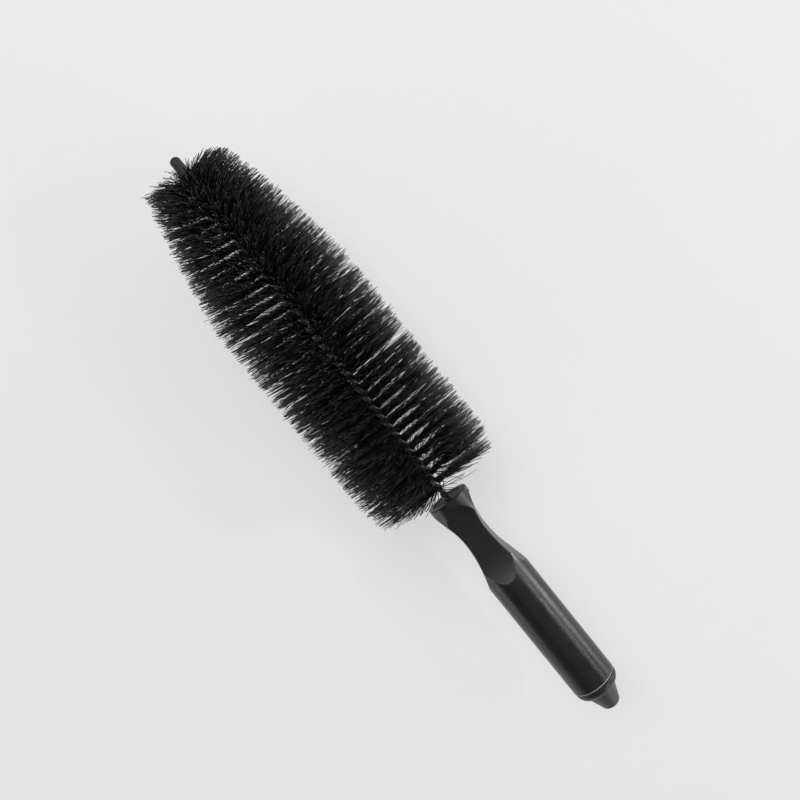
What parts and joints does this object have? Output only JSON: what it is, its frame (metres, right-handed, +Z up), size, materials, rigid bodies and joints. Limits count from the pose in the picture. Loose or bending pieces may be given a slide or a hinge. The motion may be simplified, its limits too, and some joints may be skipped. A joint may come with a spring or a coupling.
{
  "type": "wheel brush",
  "caption": "Long wheel-cleaning brush: tapered bristle head on a twisted wire stem, tip cap, and a round handle with a square waist and hang hole.",
  "frame": {"origin": "middle of the brush's length and width, on the surface that it lies on", "axes": "+X from the capped tip to the butt of the handle, along the brush's axis; +Z up"},
  "size_m": [0.43, 0.09, 0.0885],
  "materials": {
    "tip_cap": "matte dark grey moulded cap",
    "stem_wire": "black-coated steel wire, moderate gloss",
    "bristle": "black synthetic bristle",
    "plug": "dark grey moulded plastic",
    "handle": "satin charcoal moulded plastic with a fine texture",
    "end_cap": "matte charcoal moulded plastic"
  },
  "bodies": {
    "root": {"tip_cap": "tip_cap", "stem_strand_a": "stem_wire", "stem_strand_b": "stem_wire", "bristle_turn_01": "bristle", "bristle_turn_02": "bristle", "bristle_turn_03": "bristle", "bristle_turn_04": "bristle", "bristle_turn_05": "bristle", "bristle_turn_06": "bristle", "bristle_turn_07": "bristle", "bristle_turn_08": "bristle", "bristle_turn_09": "bristle", "bristle_turn_10": "bristle", "bristle_turn_11": "bristle", "bristle_turn_12": "bristle", "bristle_turn_13": "bristle", "bristle_turn_14": "bristle", "bristle_turn_15": "bristle", "bristle_turn_16": "bristle", "bristle_turn_17": "bristle", "bristle_turn_18": "bristle", "mouth_plug": "plug", "handle_body": "handle", "end_cap": "end_cap"}
  },
  "joints": []
}
